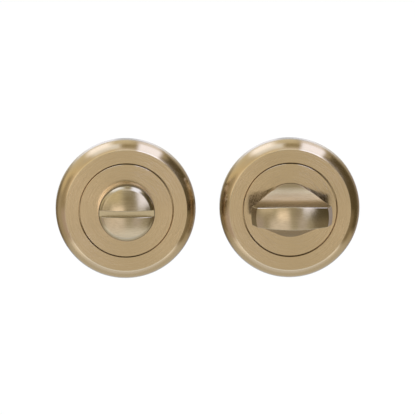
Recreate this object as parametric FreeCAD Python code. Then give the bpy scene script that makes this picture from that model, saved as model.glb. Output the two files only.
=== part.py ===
"""Bathroom thumb turn lock: the inside rose with its thumb turn, and the outside rose with its coin release.

Both halves face the viewer, side by side. +X is to the right, +Z is up, and the door's face is the
plane Y = 0. The origin is the thumb turn's axis on the door's face, and the roses stand out along -Y.
Each piece is drawn about its own axis with z pointing out of the door, and is then turned into that frame.
"""
import FreeCAD, Part
import math
import os

from FreeCAD import Rotation, Vector

# Layout of the two halves
axis_spacing = 58.5
door_face = 0.0

# Rose cover: a turned cap with an open centre
rose_diameter = 50.0
rose_depth = 9.0
rim_height = 3.8
bevel_width = 3.3
cover_wall = 1.3
cover_face_thickness = 1.6
cover_lift = 0.1
cover_foot_chamfer = 0.3

# Mounting plate: its boss is the disc in the middle of the rose
flange_width = 6.8
flange_thickness = 3.6
web_thickness = 3.2
joint_gap = 0.3
joint_chamfer = 0.15
plate_clearance = 0.3
recess_clearance = 0.4

# Spring clip between the plate's rim and the cover
clip_wire_diameter = 1.0
clip_height = 1.5
clip_bite = 0.2
clip_clearance = 0.1
clip_opening_angle = 24.0

# Countersunk wood screws
screw_count = 4
screw_first_angle = 45.0
screw_length = 16.0
screw_thread_diameter = 3.0
screw_shank_diameter = 3.4
screw_head_diameter = 5.8
screw_head_rim = 0.3
screw_tip_length = 3.6
screw_hole_clearance = 0.2
screw_head_sink = 0.1
recess_slot_width = 0.8
recess_slot_length = 3.0
recess_slot_depth = 1.3

# Shank that carries the turn or the release through the rose
shank_diameter = 12.0
shank_tail = 8.0
shank_flat_depth = 0.8
shank_tail_chamfer = 0.5
knob_gap = 0.3
running_clearance = 0.05

# Nylon bush
bush_wall = 1.2
bush_flange_width = 0.95
bush_flange_thickness = 0.8
bush_front_step = 0.2

# Dished spring washer
spring_thickness = 0.4
spring_rise = 1.1
spring_width = 2.1

# Stop washer and the arc pocket that limits it to a quarter turn
washer_thickness = 1.0
washer_width = 2.2
tab_length = 1.7
tab_angle = 30.0
stop_travel = 90.0
stop_clearance_angle = 1.0
stop_pocket_clearance = 0.3

# Retaining ring
ring_thickness = 1.0
ring_groove_depth = 0.25
ring_width = 1.6
ring_ear_radius = 1.25
ring_ear_hole_radius = 0.65
ring_opening = 1.6
axial_clearance = 0.05

# Thumb turn: a flared turned blank with two finger scoops
neck_diameter = 19.2
neck_height = 3.0
neck_cove_radius = 3.0
flare_diameter = 29.0
flare_edge_radius = 0.5
taper_width = 1.5
taper_angle = 17.0
face_edge_radius = 0.4
turn_projection = 23.85
turn_crown_radius = 24.0
waist_thickness = 6.74
waist_height = 17.3
scoop_radius = 24.4
scoop_edge_radius = 0.25

# Coin release: a crowned button with a slot
button_diameter = 20.2
button_projection = 10.2
button_crown_radius = 24.0
button_shoulder_radius = 2.5
slot_width = 2.2
slot_depth = 3.3
slot_lip_radius = 0.2
base_chamfer = 0.25

# Square spindle and the screw that holds it
spindle_width = 5.0
spindle_length = 60.0
spindle_seat_depth = 8.0
spindle_fit = 0.05
spindle_chamfer = 0.5
socket_fit = 0.1
grub_diameter = 4.0
grub_sink = 0.3
grub_key_width = 2.0
grub_key_depth = 1.6

# Heights and radii that follow from the sizes above
rose_radius = rose_diameter / 2
face_radius = rose_radius - bevel_width
cover_inner_radius = rose_radius - cover_wall
plate_radius = cover_inner_radius - plate_clearance
centre_radius = plate_radius - flange_width
screw_circle_radius = centre_radius + flange_width / 2
shank_radius = shank_diameter / 2
bush_bore_radius = shank_radius + running_clearance
bush_outer_radius = bush_bore_radius + bush_wall
spring_inner_radius = shank_radius + 2 * running_clearance
washer_radius = shank_radius + washer_width
tab_radius = washer_radius + tab_length
recess_radius = washer_radius + recess_clearance
web_back = rose_depth - web_thickness
bush_flange_back = web_back - bush_flange_thickness
spring_front = bush_flange_back - axial_clearance
spring_back = spring_front - spring_rise - spring_thickness
washer_front = spring_back - axial_clearance
washer_back = washer_front - washer_thickness
ring_front = washer_back - axial_clearance
ring_back = ring_front - ring_thickness
knob_base = rose_depth + knob_gap
grub_height = -shank_tail / 2
grub_length = shank_radius - spindle_width / 2 - grub_sink
clip_centre_radius = cover_inner_radius + clip_bite - clip_wire_diameter / 2

AXIS_POINT = Vector(0, 0, 0)
OUTWARD = Vector(0, 0, 1)


# Drawing helpers

def point(radius, height):
    """A point of a turned profile."""
    return Vector(radius, 0, height)


def on_arc(centre, radius, degrees):
    """The point of an arc about a profile centre, with degrees counted from the radial direction."""
    turn = math.radians(degrees)
    return Vector(centre.x + radius * math.cos(turn), 0, centre.z + radius * math.sin(turn))


def angle_of(centre, target):
    """The direction from a profile centre to a profile point, in degrees from the radial direction."""
    return math.degrees(math.atan2(target.z - centre.z, target.x - centre.x))


def arc(centre, radius, first, last):
    """An arc edge about a profile centre, between two angles in degrees."""
    middle = on_arc(centre, radius, (first + last) / 2)
    return Part.Arc(on_arc(centre, radius, first), middle, on_arc(centre, radius, last)).toShape()


def path(*points):
    """Straight edges through profile points."""
    return [Part.makeLine(a, b) for a, b in zip(points, points[1:])]


def corner_arc(before, corner, after, radius):
    """The arc that rounds a profile's corner, with the two points where it leaves the straight sides."""
    to_before = (before - corner).normalize()
    to_after = (after - corner).normalize()
    half = to_before.getAngle(to_after) / 2
    first = corner + to_before * (radius / math.tan(half))
    last = corner + to_after * (radius / math.tan(half))
    centre = corner + (to_before + to_after).normalize() * (radius / math.sin(half))
    middle = centre + (corner - centre).normalize() * radius
    return first, last, Part.Arc(first, middle, last).toShape()


def rounded_path(points, radii):
    """Straight edges through profile points, with each inner corner rounded by its radius."""
    edges = []
    start = points[0]
    for corner, after, radius in zip(points[1:], points[2:], radii):
        first, last, bend = corner_arc(start, corner, after, radius)
        edges += [Part.makeLine(start, first), bend]
        start = last
    edges.append(Part.makeLine(start, points[-1]))
    return edges


def turned(edges, degrees=360):
    """The solid that a closed profile sweeps about the axis."""
    return Part.Face(Part.Wire(Part.__sortEdges__(edges))).revolve(AXIS_POINT, OUTWARD, degrees)


def turned_polygon(*points):
    """A turned solid whose profile has straight sides only."""
    return turned(path(*points, points[0]))


def disc(radius, bottom, top):
    """A cylinder on the axis between two heights."""
    return Part.makeCylinder(radius, top - bottom, point(0, bottom))


def block(width_x, width_y, bottom, top):
    """A rectangular bar centred on the axis between two heights."""
    return Part.makeBox(width_x, width_y, top - bottom, Vector(-width_x / 2, -width_y / 2, bottom))


def sector(inner, outer, bottom, top, middle_angle, width_angle):
    """A piece of a ring between two radii and heights, centred on an angle."""
    corners = (point(inner, bottom), point(outer, bottom), point(outer, top), point(inner, top))
    piece = turned(path(*corners, corners[0]), width_angle)
    piece.rotate(AXIS_POINT, OUTWARD, middle_angle - width_angle / 2)
    return piece


def around(shape, count, first_angle):
    """Copies of a shape, evenly spaced about the axis."""
    copies = []
    for index in range(count):
        copy = shape.copy()
        copy.rotate(AXIS_POINT, OUTWARD, first_angle + index * 360 / count)
        copies.append(copy)
    return copies


# Rose

def cover():
    """The turned cap: rim, rounded shoulder, flat face with the open centre, and the clip's groove."""
    rise = rose_depth - rim_height
    shoulder = (bevel_width ** 2 + rise ** 2) / (2 * bevel_width)
    centre = point(rose_radius - shoulder, rim_height)
    inside = shoulder - cover_wall
    ceiling = rose_depth - cover_face_thickness
    inner_end = centre.x + math.sqrt(inside ** 2 - (ceiling - rim_height) ** 2)
    opening = centre_radius + joint_gap
    edges = [
        arc(centre, shoulder, 0, angle_of(centre, point(face_radius, rose_depth))),
        arc(centre, inside, 0, angle_of(centre, point(inner_end, ceiling))),
    ]
    edges += path(
        point(face_radius, rose_depth),
        point(opening + joint_chamfer, rose_depth),
        point(opening, rose_depth - joint_chamfer),
        point(opening, ceiling),
        point(inner_end, ceiling),
    )
    edges += path(
        point(cover_inner_radius, rim_height),
        point(cover_inner_radius, cover_lift),
        point(rose_radius - cover_foot_chamfer, cover_lift),
        point(rose_radius, cover_lift + cover_foot_chamfer),
        point(rose_radius, rim_height),
    )
    groove_radius = clip_centre_radius + clip_wire_diameter / 2 + clip_clearance
    groove_half = clip_wire_diameter / 2 + clip_clearance
    groove = disc(groove_radius, clip_height - groove_half, clip_height + groove_half)
    return turned(edges).cut(groove)


def mounting_plate():
    """The plate screwed to the door: flange, boss with the centre disc, bearing bore and stop pocket."""
    bore = bush_outer_radius + running_clearance
    plate = turned_polygon(
        point(bore, door_face),
        point(plate_radius, door_face),
        point(plate_radius, flange_thickness),
        point(centre_radius, flange_thickness),
        point(centre_radius, rose_depth - joint_chamfer),
        point(centre_radius - joint_chamfer, rose_depth),
        point(bore, rose_depth),
    )
    cuts = [disc(recess_radius, door_face - 1, web_back)]
    pocket_radius = tab_radius + stop_pocket_clearance
    pocket_angle = stop_travel + tab_angle + 2 * stop_clearance_angle
    cuts.append(sector(recess_radius / 2, pocket_radius, door_face - 1, web_back, 0, pocket_angle))
    groove_half = clip_wire_diameter / 2 + clip_clearance
    groove_floor = cover_inner_radius - clip_wire_diameter - clip_clearance
    cuts.append(turned_polygon(
        point(groove_floor, clip_height - groove_half),
        point(plate_radius + 1, clip_height - groove_half),
        point(plate_radius + 1, clip_height + groove_half),
        point(groove_floor, clip_height + groove_half),
    ))
    cuts += around(screw_hole(), screw_count, screw_first_angle)
    return plate.cut(cuts)


def screw_hole():
    """A clearance hole with its countersink, as a solid to cut from the plate's flange."""
    hole_radius = (screw_shank_diameter + screw_hole_clearance) / 2
    head_radius = (screw_head_diameter + screw_hole_clearance) / 2
    seat = flange_thickness - screw_head_sink - screw_head_rim
    tool = turned_polygon(
        point(0, door_face - 1),
        point(hole_radius, door_face - 1),
        point(hole_radius, seat - (head_radius - hole_radius)),
        point(head_radius, seat),
        point(head_radius, flange_thickness + 1),
        point(0, flange_thickness + 1),
    )
    tool.translate(Vector(screw_circle_radius, 0, 0))
    return tool


def cover_clip():
    """The open ring of round wire that holds the cover on the plate's rim."""
    section = Part.makeCircle(clip_wire_diameter / 2, point(clip_centre_radius, clip_height), Vector(0, 1, 0))
    ring = Part.Face(Part.Wire([section])).revolve(AXIS_POINT, OUTWARD, 360 - clip_opening_angle)
    ring.rotate(AXIS_POINT, OUTWARD, 90 + clip_opening_angle / 2)
    return ring


def wood_screws():
    """The screws in the plate's flange, as one group."""
    head_top = flange_thickness - screw_head_sink
    tip = head_top - screw_length
    head_radius = screw_head_diameter / 2
    plain = screw_shank_diameter / 2
    thread = screw_thread_diameter / 2
    screw = turned_polygon(
        point(0, head_top),
        point(head_radius, head_top),
        point(head_radius, head_top - screw_head_rim),
        point(plain, head_top - screw_head_rim - (head_radius - plain)),
        point(plain, door_face),
        point(thread, door_face),
        point(thread, tip + screw_tip_length),
        point(0, tip),
    )
    slot_floor = head_top - recess_slot_depth
    screw = screw.cut([
        block(recess_slot_length, recess_slot_width, slot_floor, head_top + 1),
        block(recess_slot_width, recess_slot_length, slot_floor, head_top + 1),
    ])
    screw.translate(Vector(screw_circle_radius, 0, 0))
    return Part.makeCompound(around(screw, screw_count, screw_first_angle))


# Bearing, spring, stop and retaining ring

def bush():
    """The flanged nylon sleeve in the plate's web."""
    flange_radius = bush_outer_radius + bush_flange_width
    return turned_polygon(
        point(bush_bore_radius, bush_flange_back),
        point(flange_radius, bush_flange_back),
        point(flange_radius, web_back),
        point(bush_outer_radius, web_back),
        point(bush_outer_radius, rose_depth - bush_front_step),
        point(bush_bore_radius, rose_depth - bush_front_step),
    )


def dished_spring():
    """The conical washer that presses the turn's shank back and gives it its drag."""
    outer = spring_inner_radius + spring_width
    return turned_polygon(
        point(spring_inner_radius, spring_front - spring_thickness),
        point(spring_inner_radius, spring_front),
        point(outer, spring_back + spring_thickness),
        point(outer, spring_back),
    )


def stop_washer(tab_middle_angle):
    """The washer keyed on the shank's flats, whose tab runs in the plate's arc pocket."""
    washer = disc(washer_radius, washer_back, washer_front)
    tab_root = washer_radius - washer_width / 2
    tab = sector(tab_root, tab_radius, washer_back, washer_front, tab_middle_angle, tab_angle)
    keyhole = disc(bush_bore_radius, washer_back - 1, washer_front + 1)
    between_flats = shank_diameter - 2 * shank_flat_depth + 2 * running_clearance
    keyhole = keyhole.common(block(between_flats, shank_diameter * 2, washer_back - 1, washer_front + 1))
    return washer.fuse(tab).cut(keyhole).removeSplitter()


def retaining_ring(opening_angle):
    """The spring steel ring in the shank's groove, with its two eared ends."""
    inner = shank_radius - ring_groove_depth + running_clearance
    outer = inner + ring_width
    ear_reach = washer_radius - ring_ear_radius
    ear_angle = math.degrees((ring_opening / 2 + ring_ear_radius) / ear_reach)
    ring = disc(outer, ring_back, ring_front)
    ears = []
    holes = []
    for side in (-1, 1):
        ear = Part.makeCylinder(ring_ear_radius, ring_thickness, point(ear_reach, ring_back))
        hole = Part.makeCylinder(ring_ear_hole_radius, ring_thickness, point(ear_reach, ring_back))
        for shape, group in ((ear, ears), (hole, holes)):
            shape.rotate(AXIS_POINT, OUTWARD, side * ear_angle)
            group.append(shape)
    mouth = Part.makeBox(
        2 * outer, ring_opening, ring_thickness, Vector(inner / 2, -ring_opening / 2, ring_back)
    )
    ring = ring.fuse(ears).cut([disc(inner, ring_back, ring_front), mouth] + holes).removeSplitter()
    ring.rotate(AXIS_POINT, OUTWARD, opening_angle)
    return ring


def shank(top):
    """The turned stem behind the knob or button, with the washer's flats and the ring's groove."""
    stem = turned_polygon(
        point(0, -shank_tail),
        point(shank_radius - shank_tail_chamfer, -shank_tail),
        point(shank_radius, -shank_tail + shank_tail_chamfer),
        point(shank_radius, top),
        point(0, top),
    )
    flats_top = washer_front + axial_clearance
    sleeve = disc(shank_radius + 1, -shank_tail - 1, flats_top)
    between_flats = block(
        shank_diameter - 2 * shank_flat_depth, shank_diameter * 2, -shank_tail - 2, flats_top + 1
    )
    groove = disc(shank_radius + 1, ring_back - axial_clearance, ring_front + axial_clearance)
    groove = groove.cut(disc(shank_radius - ring_groove_depth, ring_back - 1, ring_front + 1))
    return stem.cut([sleeve.cut(between_flats), groove])


# Thumb turn

def crowned_blank(radius, base, top, crown_radius, shoulder_radius, wall_lean, wall_edges):
    """A turned blank with a crowned front, a rounded shoulder and the given lower wall.

    Behind the shoulder the wall leans outwards by wall_lean degrees.
    wall_edges is called with the wall's upper end, and draws the profile from there back to the axis.
    """
    crown_centre = point(0, top - crown_radius)
    shoulder_x = radius - shoulder_radius
    reach = crown_radius - shoulder_radius
    shoulder_centre = point(shoulder_x, crown_centre.z + math.sqrt(reach ** 2 - shoulder_x ** 2))
    crown_angle = angle_of(crown_centre, shoulder_centre)
    edges = [
        arc(crown_centre, crown_radius, 90, crown_angle),
        arc(shoulder_centre, shoulder_radius, crown_angle, wall_lean),
    ]
    edges += wall_edges(on_arc(shoulder_centre, shoulder_radius, wall_lean))
    edges += path(point(0, base), point(0, top))
    return turned(edges)


def thumb_turn():
    """The knob: a flared, tapered and crowned blank, scooped on both sides, on its shank."""
    neck_radius = neck_diameter / 2
    flare_radius = flare_diameter / 2

    def wall(upper_end):
        taper_height = (flare_radius - upper_end.x) / math.tan(math.radians(taper_angle))
        foot = point(neck_radius, knob_base + base_chamfer)
        corners = (
            upper_end,
            point(flare_radius, upper_end.z - taper_height),
            point(neck_radius, rose_depth + neck_height),
            foot,
        )
        edges = rounded_path(corners, (flare_edge_radius, neck_cove_radius))
        return edges + path(foot, point(neck_radius - base_chamfer, knob_base), point(0, knob_base))

    top = rose_depth + turn_projection
    face_rim = flare_radius - taper_width
    knob = crowned_blank(face_rim, knob_base, top, turn_crown_radius, face_edge_radius, taper_angle, wall)
    scoops = []
    for side in (-1, 1):
        offset = side * (waist_thickness / 2 + scoop_radius)
        middle = Vector(-flare_diameter, offset, rose_depth + waist_height)
        scoops.append(Part.makeCylinder(scoop_radius, 2 * flare_diameter, middle, Vector(1, 0, 0)))
    knob = knob.cut(scoops)
    knob = knob.makeFillet(scoop_edge_radius, scoop_edges(knob))
    knob = knob.fuse(shank(knob_base + 1)).removeSplitter()
    seat = block(
        spindle_width + 2 * spindle_fit, spindle_width + 2 * spindle_fit,
        -shank_tail - 1, spindle_seat_depth,
    )
    thread = Part.makeCylinder(
        grub_diameter / 2, shank_diameter, Vector(0, 0, grub_height), Vector(0, 1, 0)
    )
    return knob.cut([seat, thread])


def scoop_edges(knob):
    """The sharp edges where the scoops meet the turned blank."""
    found = []
    for edge in knob.Edges:
        if not edge.Degenerated:
            surfaces = [face.Surface for face in knob.ancestorsOfType(edge, Part.Face)]
            if sum(is_scoop(surface) for surface in surfaces) == 1:
                found.append(edge)
    return found


def is_scoop(surface):
    """Whether a surface is a scoop's cylinder, whose axis lies across the knob."""
    return surface.TypeId == "Part::GeomCylinder" and abs(surface.Axis.x) > abs(surface.Axis.z)


def spindle():
    """The square bar from the turn's seat to beyond the door's far side."""
    bar = block(spindle_width, spindle_width, spindle_seat_depth - spindle_length, spindle_seat_depth)
    ends = []
    for edge in bar.Edges:
        if abs(edge.BoundBox.ZLength) < spindle_chamfer:
            ends.append(edge)
    return bar.makeChamfer(spindle_chamfer, ends)


def grub_screw():
    """The socket set screw in the shank's side that holds the spindle."""
    foot = spindle_width / 2
    body = Part.makeCylinder(
        grub_diameter / 2 - running_clearance, grub_length, Vector(0, foot, grub_height), Vector(0, 1, 0)
    )
    corner = grub_key_width / math.sqrt(3)
    corners = []
    for index in range(7):
        turn = math.radians(60 * index)
        corners.append(Vector(
            corner * math.cos(turn),
            foot + grub_length - grub_key_depth,
            grub_height + corner * math.sin(turn),
        ))
    key = Part.Face(Part.makePolygon(corners)).extrude(Vector(0, 2 * grub_key_depth, 0))
    return body.cut(key)


# Coin release

def release_button():
    """The crowned button with its coin slot, on its shank with the spindle's socket."""
    radius = button_diameter / 2

    def wall(upper_end):
        return path(
            upper_end,
            point(radius, knob_base + base_chamfer),
            point(radius - base_chamfer, knob_base),
            point(0, knob_base),
        )

    top = rose_depth + button_projection
    button = crowned_blank(radius, knob_base, top, button_crown_radius, button_shoulder_radius, 0, wall)
    button = button.cut(block(button_diameter * 2, slot_width, top - slot_depth, top + 1))
    button = button.makeFillet(slot_lip_radius, slot_lips(button))
    button = button.fuse(shank(knob_base + 1)).removeSplitter()
    socket = block(
        spindle_width + 2 * socket_fit, spindle_width + 2 * socket_fit,
        -shank_tail - 1, spindle_seat_depth,
    )
    return button.cut(socket)


def slot_lips(button):
    """The edges where the slot's two walls meet the crowned front."""
    lips = []
    for edge in button.Edges:
        if not edge.Degenerated:
            flat = [face for face in button.ancestorsOfType(edge, Part.Face) if is_slot_wall(face.Surface)]
            if len(flat) == 1 and edge.Curve.TypeId != "Part::GeomLine":
                lips.append(edge)
    return lips


def is_slot_wall(surface):
    """Whether a surface is one of the slot's side walls."""
    return surface.TypeId == "Part::GeomPlane" and abs(surface.Axis.y) > 0.9


# Assembly

def place(shape, axis_x):
    """Turns a piece's outward z into the frame's -Y and moves it to its half's axis."""
    placed = shape.copy()
    placed.rotate(AXIS_POINT, Vector(1, 0, 0), 90)
    placed.translate(Vector(axis_x, 0, 0))
    return placed


def rose_pieces(half, axis_x, tab_middle_angle):
    """The pieces that both halves have, as a dictionary from node name to placed shape."""
    pieces = {
        "cover": cover(),
        "mounting_plate": mounting_plate(),
        "cover_clip": cover_clip(),
        "wood_screws": wood_screws(),
        "bush": bush(),
        "dished_spring": dished_spring(),
        "stop_washer": stop_washer(tab_middle_angle),
        "retaining_ring": retaining_ring(180),
    }
    return {half + "_" + name: place(shape, axis_x) for name, shape in pieces.items()}


def main():
    """Builds every piece and writes one STEP file each."""
    nodes = rose_pieces("turn", 0, stop_travel / 2)
    nodes.update(rose_pieces("release", -axis_spacing, -stop_travel / 2))
    nodes["thumb_turn"] = place(thumb_turn(), 0)
    nodes["spindle"] = place(spindle(), 0)
    nodes["spindle_grub_screw"] = place(grub_screw(), 0)
    nodes["release_button"] = place(release_button(), -axis_spacing)
    os.makedirs("parts", exist_ok=True)
    for name, shape in nodes.items():
        shape.exportStep("parts/" + name + ".step")


main()
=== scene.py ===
"""Materials, light and camera for the bathroom thumb turn lock."""
import bpy
import math
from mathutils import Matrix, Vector

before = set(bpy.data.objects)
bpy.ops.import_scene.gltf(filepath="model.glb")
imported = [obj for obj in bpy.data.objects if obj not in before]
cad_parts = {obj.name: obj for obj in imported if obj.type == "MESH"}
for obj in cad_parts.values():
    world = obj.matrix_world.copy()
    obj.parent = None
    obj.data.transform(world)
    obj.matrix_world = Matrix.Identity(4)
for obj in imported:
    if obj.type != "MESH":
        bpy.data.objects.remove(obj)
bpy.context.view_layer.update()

# Places on the part, in metres. The first two are the x of the halves' axes.
RELEASE_X = -0.0585
TURN_X = 0.0
FACE_EDGE_RADIUS = 0.0217
OPENING_RADIUS = 0.01675
BUTTON_RADIUS = 0.0101
BUTTON_RIM_BACK = (-0.0135, -0.0120)
BUTTON_WALL = (-0.0128, -0.0090)
SLOT_FLOOR = -0.0159
CROWN_CENTRE = (0.0, -0.00885, 0.0)


# Node helpers

class Tree:
    """A node tree with short calls for the nodes that the materials and the world need."""

    def __init__(self, owner):
        owner.use_nodes = True
        self.tree = owner.node_tree
        self.tree.nodes.clear()

    def node(self, kind, **settings):
        made = self.tree.nodes.new(kind)
        for name, value in settings.items():
            setattr(made, name, value)
        return made

    def link(self, source, target):
        self.tree.links.new(source, target)

    def fill(self, socket, value):
        """Sets a socket's value, or links another node's output to it."""
        if isinstance(value, bpy.types.NodeSocket):
            self.link(value, socket)
        else:
            socket.default_value = value

    def math(self, operation, a, b=None):
        made = self.node("ShaderNodeMath", operation=operation)
        self.fill(made.inputs[0], a)
        if b is not None:
            self.fill(made.inputs[1], b)
        return made.outputs[0]

    def times(self, a, b):
        return self.math("MULTIPLY", a, b)

    def ramp(self, value, low, high, to_low=0.0, to_high=1.0):
        """A smooth step from one value to another between two limits."""
        made = self.node("ShaderNodeMapRange", interpolation_type="SMOOTHSTEP")
        for name, number in (("Value", value), ("From Min", low), ("From Max", high),
                             ("To Min", to_low), ("To Max", to_high)):
            self.fill(made.inputs[name], number)
        return made.outputs["Result"]

    def band(self, value, low, high, soft):
        """One between two limits and zero outside them, with soft ends."""
        rise = self.ramp(value, low - soft, low + soft)
        fall = self.ramp(value, high - soft, high + soft, 1.0, 0.0)
        return self.times(rise, fall)

    def mix(self, factor, a, b):
        made = self.node("ShaderNodeMix", data_type="RGBA")
        self.fill(made.inputs["Factor"], factor)
        self.fill(made.inputs[6], a)
        self.fill(made.inputs[7], b)
        return made.outputs[2]

    def lay(self, tone, upper, mask, amount):
        """Lays a second tone over the first where the mask says."""
        return self.mix(self.times(mask, amount), tone, upper)

    def combine(self, x, y, z):
        made = self.node("ShaderNodeCombineXYZ")
        for socket, value in zip(made.inputs, (x, y, z)):
            self.fill(socket, value)
        return made.outputs[0]

    def stretch(self, point, scales):
        """The point with each coordinate times its own scale."""
        return self.combine(*(self.times(value, scale) for value, scale in zip(point, scales)))

    def noise(self, vector, scale, detail, roughness):
        made = self.node("ShaderNodeTexNoise")
        self.fill(made.inputs["Vector"], vector)
        made.inputs["Scale"].default_value = scale
        made.inputs["Detail"].default_value = detail
        made.inputs["Roughness"].default_value = roughness
        return made.outputs["Fac"]

    def cloud(self, point, scale):
        """Soft patches a few millimetres wide."""
        return self.noise(self.combine(*point), scale, 3.0, 0.6)

    def place(self):
        """The surface point in metres, as three outputs."""
        made = self.node("ShaderNodeSeparateXYZ")
        self.link(self.node("ShaderNodeTexCoord").outputs["Object"], made.inputs[0])
        return made.outputs

    def distance(self, x, z, axis_x):
        """The distance from an axis along Y at the given x."""
        across = self.math("SUBTRACT", x, axis_x)
        squares = self.math("ADD", self.times(across, across), self.times(z, z))
        return self.math("SQRT", squares)

    def lean(self):
        """How far the surface faces forward, and how far it faces up."""
        made = self.node("ShaderNodeSeparateXYZ")
        self.link(self.node("ShaderNodeTexCoord").outputs["Normal"], made.inputs[0])
        return self.times(made.outputs[1], -1.0), made.outputs[2]

    def crown_normal(self):
        """The surface normal, with the middle of the knob's crown taken as the sphere that it is."""
        geometry = self.node("ShaderNodeNewGeometry")
        ray = self.node("ShaderNodeVectorMath", operation="SUBTRACT")
        self.link(geometry.outputs["Position"], ray.inputs[0])
        ray.inputs[1].default_value = CROWN_CENTRE
        unit = self.node("ShaderNodeVectorMath", operation="NORMALIZE")
        self.link(ray.outputs[0], unit.inputs[0])
        parts = self.node("ShaderNodeSeparateXYZ")
        self.link(unit.outputs[0], parts.inputs[0])
        middle = self.ramp(parts.outputs[1], -0.9990, -0.9985, 1.0, 0.0)
        made = self.node("ShaderNodeMix", data_type="VECTOR")
        self.link(middle, made.inputs["Factor"])
        self.link(geometry.outputs["Normal"], made.inputs[4])
        self.link(unit.outputs[0], made.inputs[5])
        return made.outputs[1]

    def bump(self, height, strength, distance, normal=None):
        made = self.node("ShaderNodeBump")
        made.inputs["Strength"].default_value = strength
        made.inputs["Distance"].default_value = distance
        self.link(height, made.inputs["Height"])
        if normal is not None:
            self.link(normal, made.inputs["Normal"])
        return made.outputs["Normal"]


def colour(red, green, blue):
    return (red, green, blue, 1.0)


def new_material(name):
    """A material with a Principled shader wired to its output."""
    material = bpy.data.materials.new(name)
    tree = Tree(material)
    output = tree.node("ShaderNodeOutputMaterial")
    shader = tree.node("ShaderNodeBsdfPrincipled")
    tree.link(shader.outputs["BSDF"], output.inputs["Surface"])
    return material, tree, shader


def set_metal(tree, shader, tone, rough, normal):
    """What every metal here has."""
    shader.inputs["Metallic"].default_value = 1.0
    tree.link(tone, shader.inputs["Base Color"])
    tree.link(rough, shader.inputs["Roughness"])
    tree.link(normal, shader.inputs["Normal"])


def set_brushed(tree, shader, axis, amount, coat, coat_roughness):
    """Brushing round an axis, under a trace of lacquer."""
    tangent = tree.node("ShaderNodeTangent", direction_type="RADIAL", axis=axis)
    tree.link(tangent.outputs[0], shader.inputs["Tangent"])
    shader.inputs["Anisotropic"].default_value = amount
    shader.inputs["Coat Weight"].default_value = coat
    shader.inputs["Coat Roughness"].default_value = coat_roughness


# Brass

BRASS = colour(0.592, 0.464, 0.315)
DULL_BRASS = colour(0.529, 0.413, 0.276)
SHADED_BRASS = colour(0.413, 0.312, 0.189)
# Painted highlight: a lighter tone laid along the face's edge and the opening's lip.
EDGE_HIGHLIGHT_BRASS = colour(0.552, 0.459, 0.327)
BARE_BRASS = colour(0.552, 0.473, 0.338)
DRAWN_BRASS = colour(0.413, 0.340, 0.233)
DRAWN_GROOVES = colour(0.345, 0.280, 0.187)
# Painted reflection: a bright tone for the button's wall, as if it mirrored the rose's face.
WALL_REFLECTION_BRASS = colour(0.78, 0.69, 0.54)
# Painted light: a bright tone for the knob's upper hollow where it faces up.
UPPER_HOLLOW_HIGHLIGHT = colour(0.81, 0.75, 0.69)
# Painted shade: a near-black tone for the knob's back and underside and the button's rim.
PAINTED_SHADE_BRASS = colour(0.090, 0.074, 0.043)

# How closely lines lie, as noise scales per metre.
FINE_LINES = 6500.0
BROAD_LINES = 900.0
SCRATCH_LINES = 60000.0
DRAWN_LINES = (110.0, 4200.0, 4200.0)

LAND_ROUGHNESS = 0.07
SCRATCH_ROUGHNESS = 0.42
SHOULDER_ROUGHNESS = 0.17


def turned_brass(name, axis_x):
    """Satin antique brass with the lathe's concentric lines: fine scratches between polished lands."""
    material, tree, shader = new_material(name)
    point = tree.place()
    x, y, z = point
    radius = tree.distance(x, z, axis_x)
    unit_x = tree.math("DIVIDE", tree.math("SUBTRACT", x, axis_x), radius)
    unit_z = tree.math("DIVIDE", z, radius)
    travel = tree.math("ADD", radius, y)

    def lines(scale, detail, roughness):
        along = tree.times(travel, scale)
        return tree.noise(tree.combine(unit_x, unit_z, along), 1.0, detail, roughness)

    fine = lines(FINE_LINES, 4.0, 0.65)
    broad = lines(BROAD_LINES, 3.0, 0.6)
    scratch = lines(SCRATCH_LINES, 1.0, 0.5)
    cloud = tree.cloud(point, 110.0)
    on_shoulder = tree.ramp(radius, FACE_EDGE_RADIUS - 0.0002, FACE_EDGE_RADIUS + 0.0005)
    edge = tree.band(radius, FACE_EDGE_RADIUS - 0.0003, FACE_EDGE_RADIUS + 0.0003, 0.0003)
    lip = tree.band(radius, OPENING_RADIUS - 0.0004, OPENING_RADIUS + 0.0004, 0.0002)

    tone = tree.mix(tree.ramp(fine, 0.25, 0.6), DULL_BRASS, BRASS)
    tone = tree.lay(tone, DULL_BRASS, tree.ramp(broad, 0.5, 0.8), 0.5)
    tone = tree.lay(tone, SHADED_BRASS, tree.ramp(cloud, 0.5, 0.75), 0.12)
    tone = tree.lay(tone, SHADED_BRASS, on_shoulder, 0.9)
    # Painted highlight: light lines along the face's edge and along the opening's lip.
    tone = tree.lay(tone, EDGE_HIGHLIGHT_BRASS, tree.math("ADD", edge, lip), 0.35)

    satin = tree.ramp(scratch, 0.59, 0.65, LAND_ROUGHNESS, SCRATCH_ROUGHNESS)
    to_shoulder = tree.math("SUBTRACT", SHOULDER_ROUGHNESS, satin)
    rough = tree.math("ADD", satin, tree.times(on_shoulder, to_shoulder))
    rough = tree.math("ADD", rough, tree.ramp(cloud, 0.3, 0.7, -0.01, 0.015))

    set_metal(tree, shader, tone, rough, tree.bump(fine, 0.005, 0.00003))
    set_brushed(tree, shader, "Y", 1.0, 0.15, 0.05)
    shader.inputs["Anisotropic Rotation"].default_value = 0.25
    return material


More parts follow.
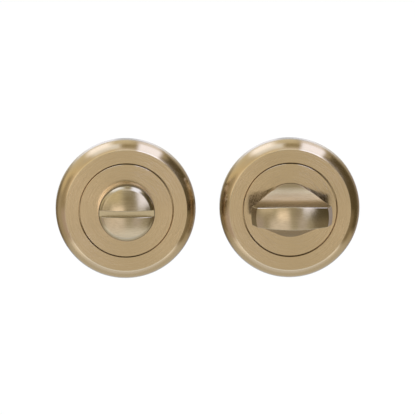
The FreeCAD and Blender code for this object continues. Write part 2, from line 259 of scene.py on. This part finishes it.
def knob_painted_light_and_shade(tree, tone):
    """Painted light on the upper hollow where it faces up and half forward; painted shade, near black,
    where it faces up and back, on the back that faces the rose, and partly on the underside.
    """
    forward, upward = tree.lean()
    hollow = tree.ramp(upward, 0.4, 0.8)
    # Painted light: the upper hollow is painted bright where it faces up and half forward.
    tone = tree.mix(tree.times(hollow, tree.band(forward, 0.31, 0.56, 0.07)), tone, UPPER_HOLLOW_HIGHLIGHT)
    # Painted shade, near black: where the upper hollow faces up and back, partly on the underside, and
    # fully on the back that faces the rose.
    tone = tree.mix(tree.times(hollow, tree.ramp(forward, 0.0, 0.26, 0.6, 0.0)), tone, PAINTED_SHADE_BRASS)
    tone = tree.mix(tree.ramp(upward, -0.8, -0.4, 0.35, 0.0), tone, PAINTED_SHADE_BRASS)
    return tree.mix(tree.ramp(forward, -0.25, -0.05, 1.0, 0.0), tone, PAINTED_SHADE_BRASS)


def button_bare_and_painted_light(tree, tone):
    """The slot's floor and all behind it are bare; the wall near the rose is painted bright, a painted
    reflection; the rim is painted dark, a painted shade.
    """
    x, y, z = tree.place()
    radius = tree.distance(x, z, RELEASE_X)
    rim = tree.times(tree.ramp(radius, BUTTON_RADIUS - 0.0005, BUTTON_RADIUS - 0.0002),
                     tree.ramp(y, *BUTTON_RIM_BACK, 1.0, 0.0))
    tone = tree.mix(tree.ramp(y, SLOT_FLOOR - 0.0006, SLOT_FLOOR - 0.0002), tone, BARE_BRASS)
    # Painted reflection: the wall near the rose is painted bright.
    tone = tree.mix(tree.band(y, *BUTTON_WALL, 0.0007), tone, WALL_REFLECTION_BRASS)
    # Painted shade: the button's outer rim is painted dark.
    return tree.lay(tone, PAINTED_SHADE_BRASS, rim, 0.85)


def drawn_brass(name, painted_light_and_marks, crowned=False):
    """Antique brass polished from side to side, with faint lines, and the painted light and shade (on
    the button also bare metal) that the given function lays on.

    A crowned piece's normals are put right in the middle of its crown.
    """
    material, tree, shader = new_material(name)
    point = tree.place()
    lines = tree.noise(tree.stretch(point, DRAWN_LINES), 1.0, 4.0, 0.6)
    cloud = tree.cloud(point, 150.0)
    tone = tree.mix(tree.ramp(lines, 0.25, 0.65), DRAWN_GROOVES, DRAWN_BRASS)
    tone = painted_light_and_marks(tree, tree.lay(tone, SHADED_BRASS, tree.ramp(cloud, 0.5, 0.75), 0.2))
    rough = tree.math("ADD", tree.ramp(lines, 0.2, 0.8, 0.18, 0.23),
                      tree.ramp(cloud, 0.3, 0.7, -0.01, 0.02))
    normal = tree.bump(lines, 0.08, 0.00003, tree.crown_normal() if crowned else None)
    set_metal(tree, shader, tone, rough, normal)
    set_brushed(tree, shader, "X", 0.5, 0.1, 0.06)
    return material


# Hidden hardware

TUMBLED = (1500.0, 1500.0, 1500.0)
ROLLED = (1500.0, 300.0, 1500.0)
SCREW_PITCH = 0.00125
THREAD_START = (0.0008, 0.0012)


def plain_metal(name, base, dark, roughness, grain=TUMBLED):
    """Steel with fine tumbling marks and a patchy plated sheen."""
    material, tree, shader = new_material(name)
    point = tree.place()
    marks = tree.noise(tree.stretch(point, grain), 1.0, 4.0, 0.6)
    cloud = tree.cloud(point, 260.0)
    tone = tree.mix(tree.ramp(marks, 0.3, 0.7), dark, base)
    tone = tree.lay(tone, dark, tree.ramp(cloud, 0.45, 0.75), 0.4)
    rough = tree.math("ADD", tree.ramp(marks, 0.2, 0.8, roughness - 0.05, roughness + 0.06),
                      tree.ramp(cloud, 0.3, 0.7, -0.02, 0.04))
    set_metal(tree, shader, tone, rough, tree.bump(marks, 0.15, 0.00003))
    return material


def thread_metal(name, base, dark, roughness):
    """Plated steel whose shank carries a screw thread along Y behind the door's face."""
    material, tree, shader = new_material(name)
    point = tree.place()
    cloud = tree.cloud(point, 300.0)
    wave = tree.math("PINGPONG", point[1], SCREW_PITCH / 2)
    crest = tree.math("DIVIDE", wave, SCREW_PITCH / 2)
    height = tree.times(crest, tree.ramp(point[1], *THREAD_START))
    # Painted shade: the thread's roots are painted darker than its crests.
    tone = tree.mix(tree.ramp(height, 0.1, 0.8), dark, base)
    tone = tree.lay(tone, dark, tree.ramp(cloud, 0.45, 0.75), 0.35)
    rough = tree.ramp(cloud, 0.3, 0.7, roughness - 0.04, roughness + 0.08)
    set_metal(tree, shader, tone, rough, tree.bump(height, 0.9, 0.0004))
    return material


def nylon(name):
    """Natural nylon: a milky satin moulding with faint flow marks."""
    material, tree, shader = new_material(name)
    flow = tree.noise(tree.combine(*tree.place()), 420.0, 4.0, 0.6)
    tone = tree.mix(tree.ramp(flow, 0.3, 0.7), colour(0.78, 0.77, 0.72), colour(0.88, 0.87, 0.83))
    tree.link(tone, shader.inputs["Base Color"])
    tree.link(tree.ramp(flow, 0.3, 0.7, 0.38, 0.5), shader.inputs["Roughness"])
    shader.inputs["Subsurface Weight"].default_value = 0.15
    shader.inputs["Subsurface Radius"].default_value = (0.001, 0.001, 0.001)
    tree.link(tree.bump(flow, 0.2, 0.00004), shader.inputs["Normal"])
    return material


def dress():
    """Gives each CAD node its material."""
    steel = plain_metal("spring_steel", colour(0.45, 0.45, 0.46), colour(0.25, 0.25, 0.26), 0.26)
    zinc = plain_metal("zinc_plate", colour(0.68, 0.69, 0.70), colour(0.50, 0.51, 0.54), 0.32, ROLLED)
    black = plain_metal("black_oxide", colour(0.09, 0.09, 0.095), colour(0.04, 0.04, 0.045), 0.38)
    screw = thread_metal("yellow_zinc", colour(0.74, 0.66, 0.44), colour(0.42, 0.35, 0.20), 0.28)
    milky = nylon("natural_nylon")
    materials = {
        "thumb_turn": drawn_brass("knob_brass", knob_painted_light_and_shade, crowned=True),
        "release_button": drawn_brass("button_brass", button_bare_and_painted_light),
        "spindle": zinc,
        "spindle_grub_screw": black,
    }
    for half, axis_x in (("turn", TURN_X), ("release", RELEASE_X)):
        brass = turned_brass(half + "_rose_brass", axis_x)
        for piece, material in (
            ("cover", brass),
            ("mounting_plate", brass),
            ("cover_clip", steel),
            ("wood_screws", screw),
            ("bush", milky),
            ("dished_spring", steel),
            ("stop_washer", zinc),
            ("retaining_ring", steel),
        ):
            materials[half + "_" + piece] = material
    for name, material in materials.items():
        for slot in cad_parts[name].material_slots:
            slot.material = material


# Studio

# Panels by azimuth and elevation from the roses, in degrees: limits, softness and light.
VIEW_PANELS = (
    # Pale table below, brightest in front
    ((-200, 200), (-100, -36), 6, (0.62, 0.60, 0.50)),
    ((-75, 65), (-84, -46), 8, (0.80, 0.83, 0.84)),
    ((-75, 65), (-50, -32), 6, (1.06, 1.05, 0.98)),
    # Lit wall above on the left
    ((-130, -8), (10, 80), 7, (0.84, 0.74, 0.48)),
    # Dim room on the right
    ((43, 126), (-26, 44), 4, (0.12, 0.098, 0.05)),
    ((40, 82), (-36, -10), 5, (0.27, 0.225, 0.14)),
    # Dim room above the camera
    ((-2, 18), (8, 64), 6, (0.36, 0.31, 0.19)),
    # Left of the camera
    ((-90, -58), (-6, 26), 5, (0.42, 0.36, 0.24)),
    ((-82, -50), (-32, -7), 6, (0.58, 0.50, 0.45)),
    ((-56, -33), (2, 26), 5, (1.00, 0.89, 0.67)),
    ((-46, -33), (-15, 2), 4, (0.44, 0.37, 0.24)),
    # Pale sheet below the camera
    ((-38, -2), (-38, -9), 6, (0.96, 0.88, 0.77)),
    ((-24, -4), (-9, 5), 5, (1.64, 1.45, 1.20)),
    ((6, 15), (-8, 8), 3, (0.46, 0.40, 0.30)),
    # Window on the right of the camera
    ((12, 27), (-28, -6), 4, (0.66, 0.60, 0.54)),
    ((20, 33), (-7, 6), 3, (0.80, 0.80, 0.82)),
    ((34, 48), (-12, 4), 3, (0.15, 0.125, 0.07)),
    ((21, 41), (5, 46), 3, (1.42, 1.48, 1.80)),
    # Behind the roses on both sides
    ((-162, -122), (-30, 12), 8, (0.20, 0.16, 0.09)),
    ((134, 166), (-30, 12), 8, (0.38, 0.33, 0.30)),
)

# Panels by clock angle round the view axis and by angle off that axis, in degrees.
STRIP_PANELS = (
    # White wall behind, greyer above and below
    ((-60, 60), (146, 190), 8, (0.95, 1.00, 1.08)),
    ((-5, 24), (146, 190), 6, (0.58, 0.62, 0.66)),
    ((134, 190), (144, 190), 8, (0.66, 0.76, 0.90)),
    ((-190, -134), (144, 190), 8, (0.62, 0.71, 0.84)),
    ((-60, 12), (96, 150), 8, (0.80, 0.76, 0.58)),
    # Lit strips above
    ((-52, -12), (56, 92), 10, (0.74, 0.70, 0.56)),
    ((-34, -4), (60, 100), 5, (1.12, 1.22, 1.36)),
    ((-38, -13), (86, 134), 6, (1.60, 1.70, 1.92)),
    ((-3, 13), (66, 92), 4, (0.40, 0.35, 0.22)),
    ((-9, 14), (34, 60), 5, (0.86, 0.84, 0.76)),
    ((14, 38), (42, 112), 3, (1.50, 1.66, 2.20)),
    ((14, 38), (112, 142), 4, (1.00, 1.00, 1.05)),
)

# The light between the panels.
ROOM_LIGHT = (0.50, 0.45, 0.32)

# What brings all of that up to a plain level, for red, green and blue.
LIGHT_LEVEL = (1.45, 1.50, 1.65)

FLOOR_SIZE = 6.0
FLOOR_CENTRE = (0.0, 1.0, -0.30)

# How much of the floor shows the camera plain white; the rest keeps the roses' shadow.
FLOOR_GLOW = 0.93

# The camera in degrees and metres. The picture is 415 pixels wide, at 2.80 pixels to a millimetre.
CAMERA_AZIMUTH = -2.0
CAMERA_ELEVATION = 8.0
CAMERA_DISTANCE = 4.0
CAMERA_AIM = (-0.02925, -0.0019, 0.0)
PICTURE_WIDTH = 0.415 / 2.80
SENSOR_WIDTH = 36.0


def lit(light):
    """A panel's colour at the studio's level."""
    return colour(*(number * level for number, level in zip(light, LIGHT_LEVEL)))


def white_to_camera(tree, surface, kind, amount):
    """A shader that the camera alone sees as plain white, by the amount given."""
    white = tree.node(kind)
    white.inputs["Color"].default_value = colour(1.0, 1.0, 1.0)
    seen = tree.node("ShaderNodeMixShader")
    camera_ray = tree.node("ShaderNodeLightPath").outputs["Is Camera Ray"]
    tree.link(tree.times(camera_ray, amount), seen.inputs[0])
    tree.link(surface, seen.inputs[1])
    tree.link(white.outputs[0], seen.inputs[2])
    return seen.outputs[0]


def studio_world():
    """Soft panels round the object: lit strips above, dim walls, a pale table below, white behind."""
    world = bpy.data.worlds.new("studio")
    bpy.context.scene.world = world
    tree = Tree(world)
    output = tree.node("ShaderNodeOutputWorld")
    direction = tree.node("ShaderNodeSeparateXYZ")
    tree.link(tree.node("ShaderNodeTexCoord").outputs["Generated"], direction.inputs[0])
    x, y, z = direction.outputs
    front = tree.times(y, -1.0)
    azimuth = tree.math("DEGREES", tree.math("ARCTAN2", x, front))
    elevation = tree.math("DEGREES", tree.math("ARCSINE", z))
    clock = tree.math("DEGREES", tree.math("ARCTAN2", x, z))
    off_axis = tree.math("DEGREES", tree.math("ARCCOSINE", front))
    tone = lit(ROOM_LIGHT)
    for panels, first, second in (
        (VIEW_PANELS, azimuth, elevation),
        (STRIP_PANELS, clock, off_axis),
    ):
        for first_limits, second_limits, soft, light in panels:
            inside = tree.times(tree.band(first, *first_limits, soft),
                                tree.band(second, *second_limits, soft))
            tone = tree.mix(inside, tone, lit(light))
    light = tree.node("ShaderNodeBackground")
    tree.link(tone, light.inputs["Color"])
    shown = white_to_camera(tree, light.outputs[0], "ShaderNodeBackground", 1.0)
    tree.link(shown, output.inputs["Surface"])


def studio_floor():
    """A pale floor well below the roses, which keeps their soft shadow."""
    bpy.ops.mesh.primitive_plane_add(size=FLOOR_SIZE, location=FLOOR_CENTRE)
    floor = bpy.context.object
    floor.name = "floor"
    material, tree, shader = new_material("floor_paper")
    grain = tree.noise(tree.combine(*tree.place()), 90.0, 4.0, 0.6)
    tone = tree.mix(grain, colour(0.86, 0.86, 0.855), colour(0.89, 0.89, 0.885))
    tree.link(tone, shader.inputs["Base Color"])
    shader.inputs["Roughness"].default_value = 0.85
    shown = white_to_camera(tree, shader.outputs["BSDF"], "ShaderNodeEmission", FLOOR_GLOW)
    tree.link(shown, material.node_tree.get_output_node("ALL").inputs["Surface"])
    floor.data.materials.append(material)
    floor.visible_glossy = False


def camera():
    """A long lens a little above and left of the roses' axes, as in the photo."""
    azimuth = math.radians(CAMERA_AZIMUTH)
    elevation = math.radians(CAMERA_ELEVATION)
    back = Vector((
        math.sin(azimuth) * math.cos(elevation),
        -math.cos(azimuth) * math.cos(elevation),
        math.sin(elevation),
    ))
    data = bpy.data.cameras.new("camera")
    data.sensor_width = SENSOR_WIDTH
    data.lens = SENSOR_WIDTH * CAMERA_DISTANCE / PICTURE_WIDTH
    data.clip_start = 0.1
    data.clip_end = 50.0
    made = bpy.data.objects.new("camera", data)
    made.location = Vector(CAMERA_AIM) + back * CAMERA_DISTANCE
    made.rotation_euler = (-back).to_track_quat("-Z", "Y").to_euler()
    bpy.context.collection.objects.link(made)
    bpy.context.scene.camera = made


dress()
studio_world()
studio_floor()
camera()
bpy.context.scene.view_settings.view_transform = "Standard"
